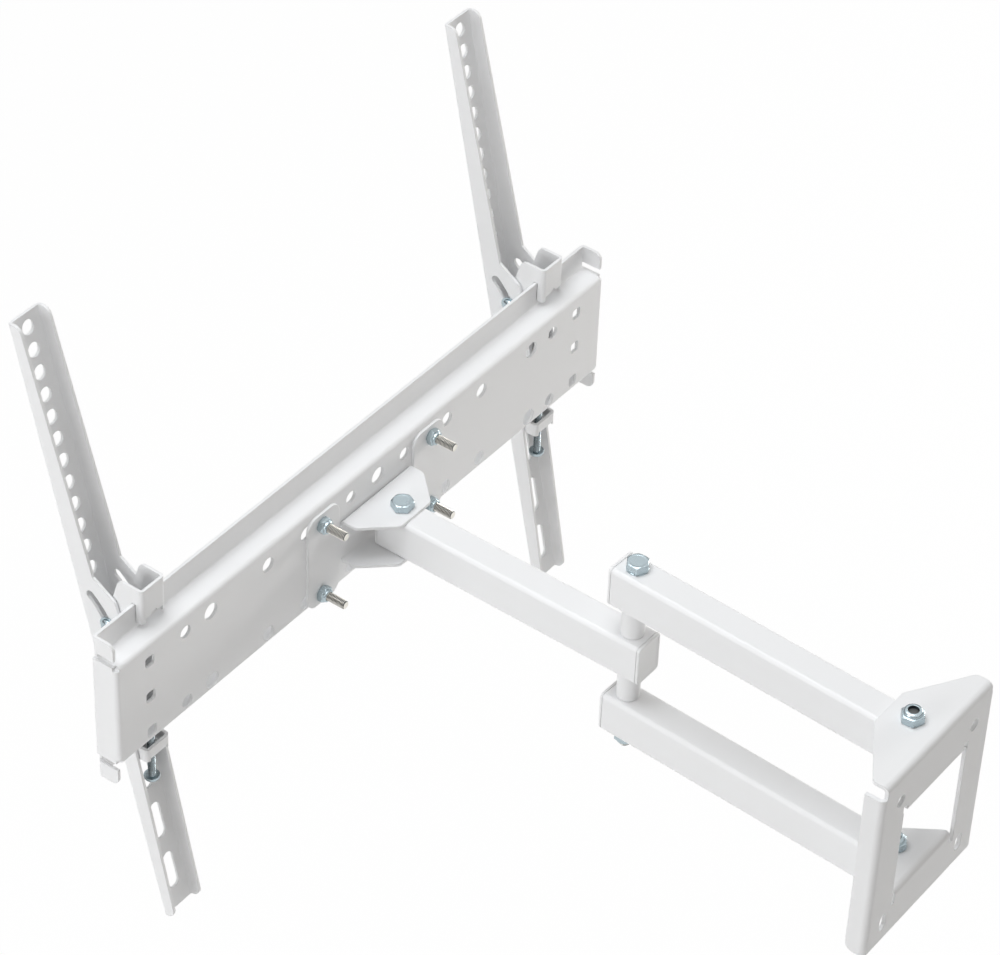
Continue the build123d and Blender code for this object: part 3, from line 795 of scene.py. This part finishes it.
def dome_bolt(name, place, length):
    """A low domed head on z = 0 and an M6 shank below it."""
    mesh = bmesh.new()
    wide = dome_width / 2
    profile = [(0, wide - dome_edge), (dome_edge, wide), (dome_rim, wide)]
    for angle in dome_angles:
        a = radians(angle)
        profile.append((dome_rim + (dome_height - dome_rim) * sin(a), wide * cos(a)))
    rings = [ring(mesh, z, r) for z, r in profile]
    skin(mesh, rings, zinc)
    lid(mesh, rings[0], False, zinc)
    lid(mesh, rings[-1], True, zinc)
    rolled_shank(mesh, m6, length, tilt_bolt_thread, m6_pitch, rolled)
    return fresh_piece(name, mesh, fastener_finishes, place)


to_left = Matrix.Rotation(radians(90), 4, "Y")
to_right = Matrix.Rotation(radians(-90), 4, "Y")
aside = Vector((tilt_seat * MM, 0, 0))
for side in ("left", "right"):
    bolts, nuts = [], []
    for angle in tilt_pins:
        arm = Vector((0, cos(radians(angle)), sin(radians(angle)))) * tilt_radius * MM
        pin = joint_places[side + "_tilt"] + arm
        spin = Matrix.Rotation(radians(angle), 4, "Z")
        place = Matrix.Translation(pin + aside) @ to_left @ spin
        bolts.append(dome_bolt("bolt", place, tilt_bolt_length))
        place = Matrix.Translation(pin - aside) @ to_right @ spin
        nuts.append(lock_nut("nut", place, m6, m6_flats, m6_nut))
    for kind, pieces in (("_tilt_bolts", bolts), ("_tilt_nuts", nuts)):
        joined = join_pieces(side + kind + "_detail", pieces)
        install(joined, side + "_hook", "zinc_plate", side + kind)

# %% [markdown]
# A long M5 screw under each hook presses against the crossbar's lower lip. Its pan head points down
# and has a cross recess. The recess is cut as a mesh: the head's flat lies between a ring of points
# and the cross, and tapered walls join the cross to a smaller one below.

# %% Lock screws
m5, m5_pitch, m5_chamfer = 5.0, 0.8, 0.8
pan_width, pan_height = 10.2, 3.0
pan_edge, pan_side, pan_foot, pan_flat = 0.25, 0.9, 0.97, 0.72
pan_angles = (25, 50, 75, 90)
cross_reach, cross_half, cross_deep, cross_taper = 2.3, 0.55, 1.5, 0.8
thread_lap = 0.1
screw_turn = 20


def cross_outline():
    """The twelve corners of a cross, anticlockwise."""
    r, h = cross_reach, cross_half
    quarter = [(r, -h), (r, h), (h, h)]
    points = []
    for k in range(4):
        c, s = cos(k * pi / 2), sin(k * pi / 2)
        points += [(x * c - y * s, x * s + y * c) for x, y in quarter]
    return points


def edges_round(mesh, points):
    """The edges that join a closed row of points."""
    return [mesh.edges.get(pair) for pair in zip(points, points[1:] + points[:1])]


def pan_screw(name, place, length):
    """The thread goes down from z = 0 and the pan head stands on it, with its recess on top."""
    mesh = bmesh.new()
    radius = pan_width / 2
    profile = [(0, radius * pan_foot), (pan_edge, radius), (pan_side, radius)]
    for angle in pan_angles:
        a = radians(angle)
        profile.append((
            pan_side + (pan_height - pan_side) * sin(a),
            radius * pan_flat + radius * (1 - pan_flat) * cos(a)))
    rings = [ring(mesh, z, r) for z, r in profile]
    skin(mesh, rings, zinc)
    lid(mesh, rings[0], False, zinc)
    top, bottom = [
        [mesh.verts.new((x * size * MM, y * size * MM, z * MM)) for x, y in cross_outline()]
        for size, z in ((1, pan_height), (cross_taper, pan_height - cross_deep))]
    rim = edges_round(mesh, rings[-1])
    skin(mesh, [top, bottom], zinc)
    mesh.faces.new(bottom)
    bmesh.ops.triangle_fill(mesh, edges=rim + edges_round(mesh, top), use_beauty=True)
    radius = m5 / 2 - shank_play
    # The thread's grooves take the near-black finish: painted shade.
    threaded_rod(mesh, radius, m5_pitch, thread_lap, -length, m5_chamfer, (zinc, groove_shade, zinc))
    return fresh_piece(name, mesh, fastener_finishes, place)


for side in ("left", "right"):
    foot, top = axis_of(side + "_lock_screw")
    seat = foot + Vector((0, 0, pan_height * MM))
    place = upright_place(seat, screw_turn, True)
    screw = pan_screw(side + "_lock_screw_detail", place, (top.z - seat.z) / MM)
    install(screw, side + "_lock_screw", "zinc_plate", side + "_lock_screw")

# %% [markdown]
# The tube ends are closed by pressed-in plastic plugs. A thin dark seam shows where a plug's rim
# meets the cut tube, and the rim's outer edge is rounded. Each plug is built from rounded outlines
# at several depths. Just before the tube's end they step in by a little, which makes the seam, and
# past it they are as narrow as the inside of the tube.

# %% End caps
tube_width, tube_height, tube_round = 22.0, 29.0, 3.0
tube_past_pivot = 13.0
cap_rim, cap_plug, cap_round = 2.2, 5.0, 0.8
seam_width, seam_depth, seam_slope = 0.3, 0.45, 0.9
plug_inset, plug_lead, least_round = 2.3, 0.02, 0.4
panel_inset, dip_inset, dip_depth = 1.4, 1.7, 0.12
corner_steps = 8
cap_sharp = 40
arm_rise = 51.0


def rounded_outline(mesh, depth, inset):
    """A rounded rectangle of points at a depth along y, smaller by an inset all round."""
    half_x, half_z = tube_width / 2 - inset, tube_height / 2 - inset
    radius = max(tube_round - inset, least_round)
    points = []
    for sx, sz, start in ((1, 1, 0), (-1, 1, 90), (-1, -1, 180), (1, -1, 270)):
        for k in range(corner_steps + 1):
            a = radians(start + 90 * k / corner_steps)
            x = sx * (half_x - radius) + radius * cos(a)
            z = sz * (half_z - radius) + radius * sin(a)
            points.append(mesh.verts.new((x * MM, depth * MM, z * MM)))
    return points


def end_cap(name, place):
    """A plug whose outer face is at y = 0 and whose body goes along +y into the tube."""
    mesh = bmesh.new()
    levels = [(0, cap_round)]
    for t in (30, 60, 90):
        a = radians(t)
        levels.append((cap_round * (1 - cos(a)), cap_round * (1 - sin(a))))
    levels += [
        (cap_rim - seam_width, 0), (cap_rim - seam_width * seam_slope, seam_depth),
        (cap_rim, seam_depth), (cap_rim + plug_lead, plug_inset), (cap_plug, plug_inset)]
    outlines = [rounded_outline(mesh, depth, inset) for depth, inset in levels]
    skin(mesh, outlines)
    panel = rounded_outline(mesh, 0, cap_round + panel_inset)
    dip = rounded_outline(mesh, dip_depth, cap_round + dip_inset)
    skin(mesh, [outlines[0], panel, dip])
    mesh.faces.new(dip)
    mesh.faces.new(list(reversed(outlines[-1])))
    return fresh_piece(name, mesh, [cap_plastic], place, cap_sharp)


def tube_end_places(first_joint, second_joint, height):
    """Places for the plugs at both ends of a tube between two pivots, at a height."""
    first, second = joint_places[first_joint], joint_places[second_joint]
    along = (second - first).normalized()
    angle = atan(along.x / -along.y)
    rise = Vector((0, 0, height * MM))
    far = Matrix.Translation(second + along * tube_past_pivot * MM + rise)
    near = Matrix.Translation(first - along * tube_past_pivot * MM + rise)
    turn = Matrix.Rotation(angle, 4, "Z")
    return [far @ turn, near @ turn @ Matrix.Rotation(pi, 4, "Z")]


rear_places = [
    place for height in (arm_rise, -arm_rise)
    for place in tube_end_places("wall_swivel", "elbow_fold", height)]
front_places = tube_end_places("elbow_fold", "head_swivel", 0.0)
for arm, places in (("rear", rear_places), ("front", front_places)):
    caps = join_pieces(arm + "_tube_caps_detail", [end_cap("cap", place) for place in places])
    install(caps, arm + "_arm", "white_plastic", arm + "_tube_caps")
